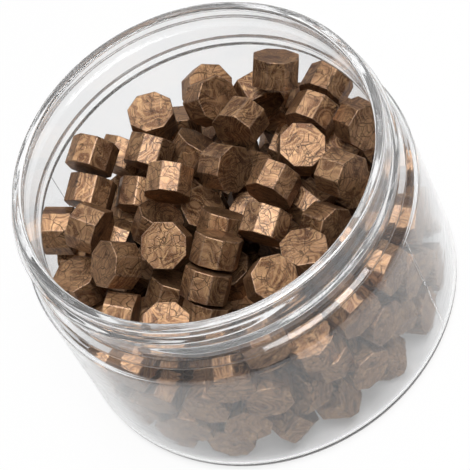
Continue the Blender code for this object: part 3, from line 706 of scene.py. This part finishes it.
def wax_material(look):
    """Pearly bronze wax: swirls, crackle veins, rings and rays on the ends, fine streaks, and a painted
    highlight on the rounded edges.
    """
    name = "bronze_wax_pearl"
    if name in bpy.data.materials:
        return bpy.data.materials[name]
    material, tree, output = empty_material(name)
    place = add_node(tree, "ShaderNodeAttribute", attribute_name="bead_place").outputs["Vector"]
    seed = add_node(tree, "ShaderNodeAttribute", attribute_name="bead_seed").outputs["Fac"]
    edge = add_node(tree, "ShaderNodeAttribute", attribute_name="bead_edge").outputs["Fac"]
    shift = add_node(tree, "ShaderNodeVectorMath", {0: BEAD_SHIFT, "Scale": seed}, operation="SCALE")
    spot = vectors(tree, "ADD", place, shift.outputs[0])
    warp = noise(tree, spot, look.warp_scale, 1.0, 0.4).outputs["Color"]
    warp = vectors(tree, "SUBTRACT", warp, (0.5, 0.5, 0.5))
    warp = vectors(tree, "MULTIPLY", warp, [look.warp_reach] * 3)
    bent = vectors(tree, "ADD", spot, warp)

    flow = noise(tree, bent, look.flow_scale, 2.0, 0.4).outputs[0]
    drawn_out = vectors(tree, "MULTIPLY", bent, STREAK_STRETCH)
    streak = noise(tree, drawn_out, look.streak_scale, 3.0, 0.55).outputs[0]
    speck = noise(tree, spot, look.speck_scale, 3.0, 0.7).outputs[0]
    broken = stretched(tree, noise(tree, spot, look.patch_scale, 2.0).outputs[0], 0.4, 0.58)

    half_bent = vectors(tree, "ADD", spot, vectors(tree, "MULTIPLY", warp, (0.5, 0.5, 0.5)))
    veins = crackle(tree, half_bent, look.vein_cells, look.vein_width)
    veins = maths(tree, "MULTIPLY", veins, stretched(tree, flow, 0.44, 0.54))
    fine = crackle(tree, bent, look.fine_cells, look.vein_width * 0.7)
    fine = maths(tree, "MULTIPLY", fine, broken)
    drift = noise(tree, half_bent, look.drift_scale, 0.0).outputs[0]
    grain_step = maths(tree, "PINGPONG", maths(tree, "MULTIPLY", drift, look.grain), 0.5)
    grain_there = maths(tree, "MULTIPLY", broken, look.grain_depth)
    grain = maths(tree, "MULTIPLY", thin_line(tree, grain_step, look.grain_width), grain_there)
    glint = thin_line(tree, maths(tree, "SUBTRACT", grain_step, 0.32), look.glint_width)
    ends = maths(tree, "MULTIPLY", end_lines(tree, place, warp, seed, look), broken)
    lines = veins
    for more in (fine, ends, grain):
        lines = maths(tree, "MAXIMUM", lines, more)

    swirl = stretched(tree, flow, 0.35, 0.65)
    colour = blended(tree, swirl, with_alpha(look.deep), with_alpha(look.bronze))
    layers = (
        (stretched(tree, speck, 0.45, 0.75, 0.0, look.speck_share), look.pale),
        (stretched(tree, streak, 0.55, 0.7, 0.0, look.streak_share), look.gold),
        (maths(tree, "MULTIPLY", glint, look.glint_share), look.gold),
        # Painted highlight: the rounded edges are lightened with pale bronze.
        (maths(tree, "MULTIPLY", edge, look.edge_highlight_share), look.pale),
        (maths(tree, "MULTIPLY", lines, look.line_depth), look.vein),
    )
    for share, layer in layers:
        colour = blended(tree, share, colour, with_alpha(layer))

    rough = stretched(tree, speck, 0.3, 0.7, look.rough - 0.06, look.rough + 0.08)
    relief = maths(tree, "MULTIPLY_ADD", lines, -1.0, maths(tree, "MULTIPLY", streak, 0.6))
    relief = maths(tree, "MULTIPLY_ADD", speck, 0.2, relief)
    bump = raised(tree, relief, look)
    shader = add_node(
        tree,
        "ShaderNodeBsdfPrincipled",
        {
            "Base Color": colour,
            "Metallic": look.metal,
            "Roughness": rough,
            "Coat Weight": look.coat,
            "Coat Roughness": look.coat_rough,
            "Specular Tint": with_alpha(look.sheen),
            "Normal": bump,
        },
    )
    tree.links.new(shader.outputs[0], output.inputs["Surface"])
    return material


def seen_white(tree, look):
    """One for rays from the camera and through clear plastic, and a share of it for reflections."""
    path = add_node(tree, "ShaderNodeLightPath")
    glossy = maths(tree, "MULTIPLY", path.outputs["Is Glossy Ray"], look.floor_gloss)
    mirrored = maths(tree, "MAXIMUM", path.outputs["Is Camera Ray"], glossy)
    return maths(tree, "MAXIMUM", mirrored, path.outputs["Is Transmission Ray"])


def studio_floor(look):
    """A wide pale floor that keeps the jar's shadow."""
    mesh = bpy.data.meshes.new("studio_floor")
    half = look.floor_size / 2.0
    low = -look.floor_gap
    corners = [(-half, -half, low), (half, -half, low), (half, half, low), (-half, half, low)]
    mesh.from_pydata(corners, [], [(0, 1, 2, 3)])
    material, tree, output = empty_material("studio_floor")
    place = add_node(tree, "ShaderNodeTexCoord").outputs["Object"]
    radius = add_node(tree, "ShaderNodeVectorMath", {0: place}, operation="LENGTH").outputs[1]
    speckle = noise(tree, place, 40.0, 2.0).outputs[0]
    rough = stretched(tree, speckle, 0.3, 0.7, 0.75, 0.9)
    shader = add_node(
        tree, "ShaderNodeBsdfPrincipled", {"Base Color": with_alpha(look.floor), "Roughness": rough}
    )
    white = add_node(tree, "ShaderNodeEmission", {"Color": WHITE, "Strength": 1.0})
    inner = JAR_HIGH.x * 0.92
    outer = JAR_HIGH.x * 1.02
    open_floor = stretched(tree, radius, inner, outer, look.floor_under, look.floor_white)
    share = maths(tree, "MULTIPLY", seen_white(tree, look), open_floor)
    mixed = add_node(tree, "ShaderNodeMixShader", {0: share, 1: shader.outputs[0], 2: white.outputs[0]})
    tree.links.new(mixed.outputs[0], output.inputs["Surface"])
    mesh.materials.append(material)
    floor = bpy.data.objects.new("studio_floor", mesh)
    bpy.context.scene.collection.objects.link(floor)


def studio_world(look):
    """Even soft light, with a room for the plastic and the wax, white behind the jar and dim in front."""
    world = bpy.data.worlds.new("studio")
    bpy.context.scene.world = world
    world.use_nodes = True
    tree = world.node_tree
    tree.nodes.clear()
    output = add_node(tree, "ShaderNodeOutputWorld")
    way = add_node(tree, "ShaderNodeTexCoord").outputs["Generated"]
    bright_side = (0.0, math.cos(look.room_rise), math.sin(look.room_rise))
    dot = add_node(tree, "ShaderNodeVectorMath", {0: way, 1: bright_side}, operation="DOT_PRODUCT")
    facing = dot.outputs["Value"]
    path = add_node(tree, "ShaderNodeLightPath")
    dim = blended(tree, path.outputs["Is Transmission Ray"], [look.dim_side] * 4, [look.dim_through] * 4)
    room = blended(tree, stretched(tree, facing, look.room_near, look.room_far), dim, WHITE)
    shown = add_node(tree, "ShaderNodeBackground", {"Color": room, "Strength": 1.0})
    plain = add_node(tree, "ShaderNodeBackground", {"Color": WHITE, "Strength": 1.0})
    light = add_node(tree, "ShaderNodeBackground", {"Color": WHITE, "Strength": look.sky})
    bounced = maths(tree, "MAXIMUM", path.outputs["Is Glossy Ray"], path.outputs["Is Transmission Ray"])
    mixed = add_node(tree, "ShaderNodeMixShader", {0: bounced, 1: light.outputs[0], 2: shown.outputs[0]})
    camera = path.outputs["Is Camera Ray"]
    mixed = add_node(tree, "ShaderNodeMixShader", {0: camera, 1: mixed.outputs[0], 2: plain.outputs[0]})
    tree.links.new(mixed.outputs[0], output.inputs["Surface"])


def picture_axes(look):
    """The camera's place and its way ahead, right and up, for the picture's own roll."""
    back = Vector((0.0, -math.cos(look.rise), math.sin(look.rise)))
    ahead = -back
    level = Vector((1.0, 0.0, 0.0))
    up = level.cross(ahead)
    right = math.cos(look.roll) * level + math.sin(look.roll) * up
    over = -math.sin(look.roll) * level + math.cos(look.roll) * up
    eye = Vector((0.0, 0.0, JAR_HIGH.z)) + back * look.distance
    return eye, ahead, right, over


def studio_camera(look):
    """A long lens that looks down into the mouth, with the picture rolled."""
    eye, ahead, right, over = picture_axes(look)
    half = IMAGE_WIDE / 2.0
    aside = (half - look.rim_right) / look.reach
    below = (half - look.rim_down) / look.reach
    aim = (ahead + right * aside - over * below).normalized()
    side = aim.cross(over).normalized()
    top = side.cross(aim)
    data = bpy.data.cameras.new("camera")
    data.sensor_width = SENSOR_WIDE
    data.lens = look.reach / IMAGE_WIDE * SENSOR_WIDE
    data.clip_start = 0.01
    data.clip_end = 50.0
    camera = bpy.data.objects.new("camera", data)
    bpy.context.scene.collection.objects.link(camera)
    turn = Matrix((side, top, -aim)).transposed().to_4x4()
    camera.matrix_world = Matrix.Translation(eye) @ turn
    bpy.context.scene.camera = camera


def follow_light(paths):
    """Lets light bounce often enough to find its way out of the thick clear neck."""
    paths.max_bounces = 32
    paths.glossy_bounces = 24
    paths.transmission_bounces = 32


def soft_lamp(name, look, toward, size, power):
    """A square soft lamp aimed into the jar, from a direction in the picture."""
    _, ahead, right, over = picture_axes(look)
    way = right * toward[0] + over * toward[1] - ahead * toward[2]
    data = bpy.data.lights.new(name, "AREA")
    data.size = size
    data.energy = power
    lamp = bpy.data.objects.new(name, data)
    bpy.context.scene.collection.objects.link(lamp)
    target = Vector((0.0, 0.0, look.lamp_aim))
    lamp.location = target + way.normalized() * look.lamp_distance
    lamp.rotation_mode = "QUATERNION"
    lamp.rotation_quaternion = (-way).to_track_quat("-Z", "Y")


class WAXJAR_OT_clear_jar(bpy.types.Operator):
    """Makes the clear jar with its rounded lip, thread, collar and base"""

    bl_idname = "wax_jar.clear_jar"
    bl_label = "Clear jar"

    def execute(self, context):
        sizes = context.scene.jar_sizes
        look = context.scene.jar_look
        mesh = jar_mesh(sizes)
        mesh.materials.append(clear_plastic("clear_neck", look, look.gloss, look.neck_haze, False))
        mesh.materials.append(clear_plastic("clear_body", look, look.body_gloss, look.haze, True))
        jar = bpy.data.objects.new("clear_jar", mesh)
        context.scene.collection.objects.link(jar)
        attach(jar, "jar")
        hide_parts("jar")
        return {"FINISHED"}


class WAXJAR_OT_loose_beads(bpy.types.Operator):
    """Makes each loose wax bead where its solid lies"""

    bl_idname = "wax_jar.loose_beads"
    bl_label = "Loose beads"

    def execute(self, context):
        bead = context.scene.bead_sizes
        wax = wax_material(context.scene.wax_look)
        for body, nodes in frame["record"]["behaviour"]["bodies"].items():
            for node in nodes:
                if not node.startswith("bead_") or node == "bead_bed":
                    continue
                places = bead_places(node, bead)
                if len(places) != 1:
                    raise RuntimeError(f"{node}: found {len(places)} beads in place of one")
                thing = bead_object("wax_" + node, places, bead, wax, int(node[5:]), places[0])
                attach(thing, body)
                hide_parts(node)
        return {"FINISHED"}


class WAXJAR_OT_bead_bed(bpy.types.Operator):
    """Makes the beads of the bed under the loose ones"""

    bl_idname = "wax_jar.bead_bed"
    bl_label = "Bed of beads"

    def execute(self, context):
        bead = context.scene.bead_sizes
        wax = wax_material(context.scene.wax_look)
        places = bead_places("bead_bed", bead)
        print("beads found in the bed:", len(places))
        if not places:
            raise RuntimeError("no bead was found in the bed")
        thing = bead_object("wax_bead_bed", places, bead, wax, BED_SEED, Matrix.Identity(4))
        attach(thing, "jar")
        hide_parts("bead_bed")
        return {"FINISHED"}


class WAXJAR_OT_studio(bpy.types.Operator):
    """Makes the pale floor, the soft lamps and the camera"""

    bl_idname = "wax_jar.studio"
    bl_label = "Studio"

    def execute(self, context):
        look = context.scene.studio_look
        context.scene.view_settings.view_transform = "Standard"
        follow_light(context.scene.cycles)
        studio_floor(look)
        studio_world(look)
        studio_camera(look)
        soft_lamp("main_lamp", look, look.key_way, look.key_size, look.key)
        soft_lamp("side_lamp", look, look.fill_way, look.fill_size, look.fill)
        return {"FINISHED"}


class WAXJAR_PT_panel(bpy.types.Panel):
    """Lists the pieces of the jar of wax beads"""

    bl_idname = "WAXJAR_PT_panel"
    bl_label = "Wax jar"
    bl_space_type = "VIEW_3D"
    bl_region_type = "UI"
    bl_category = "Wax jar"

    def draw(self, context):
        for operator in OPERATORS:
            self.layout.operator(operator.bl_idname)
        for name in SETTINGS:
            group = getattr(context.scene, name)
            box = self.layout.box()
            for key in group.bl_rna.properties.keys():
                if key not in ("rna_type", "name"):
                    box.prop(group, key)


OPERATORS = (WAXJAR_OT_clear_jar, WAXJAR_OT_loose_beads, WAXJAR_OT_bead_bed, WAXJAR_OT_studio)
SETTINGS = {
    "jar_sizes": JarSizes,
    "jar_look": JarLook,
    "bead_sizes": BeadSizes,
    "wax_look": WaxLook,
    "studio_look": StudioLook,
}


def register():
    """Adds the settings, the operators and the panel."""
    for name, group in SETTINGS.items():
        bpy.utils.register_class(group)
        setattr(bpy.types.Scene, name, PointerProperty(type=group))
    for operator in OPERATORS:
        bpy.utils.register_class(operator)
    bpy.utils.register_class(WAXJAR_PT_panel)


def unregister():
    """Takes them away again."""
    bpy.utils.unregister_class(WAXJAR_PT_panel)
    for operator in reversed(OPERATORS):
        bpy.utils.unregister_class(operator)
    for name, group in reversed(SETTINGS.items()):
        delattr(bpy.types.Scene, name)
        bpy.utils.unregister_class(group)


def main():
    """Makes every piece in order."""
    register()
    bpy.ops.wax_jar.clear_jar()
    bpy.ops.wax_jar.loose_beads()
    bpy.ops.wax_jar.bead_bed()
    bpy.ops.wax_jar.studio()
    bpy.context.view_layer.update()


if __name__ == "__main__":
    main()
